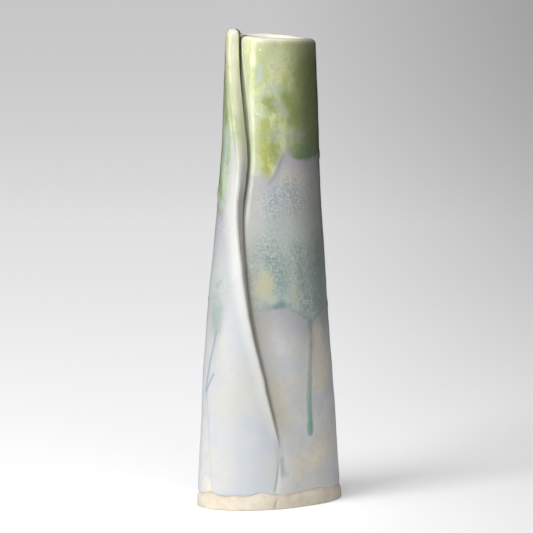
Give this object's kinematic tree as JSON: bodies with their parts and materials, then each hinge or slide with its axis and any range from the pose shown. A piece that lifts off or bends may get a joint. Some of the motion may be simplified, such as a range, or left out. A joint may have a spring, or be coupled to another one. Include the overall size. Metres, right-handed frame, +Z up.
{
  "type": "bud vase",
  "caption": "Tall slab-built stoneware bud vase: a clay sheet wrapped round into a tapering oval tube, its outer edge left as a curved flap down the front, running glazes over a raw foot.",
  "frame": {"origin": "middle of the footprint at the table, under the foot", "axes": "+Z up along the vase, -Y towards the front with the flap's edge, +X to the viewer's right"},
  "size_m": [0.073, 0.0616, 0.238],
  "materials": {
    "clay": "matte",
    "slip": "matte",
    "liner_glaze": "gloss",
    "lavender_glaze": "gloss",
    "teal_glaze": "gloss",
    "green_glaze": "gloss"
  },
  "bodies": {
    "root": {"wall_slab": "clay", "floor_slab": "clay", "floor_slip": "slip", "floor_coil": "slip", "lap_slip": "slip", "liner_glaze": "liner_glaze", "lavender_glaze": "lavender_glaze", "teal_glaze": "teal_glaze", "green_glaze": "green_glaze"}
  },
  "joints": []
}
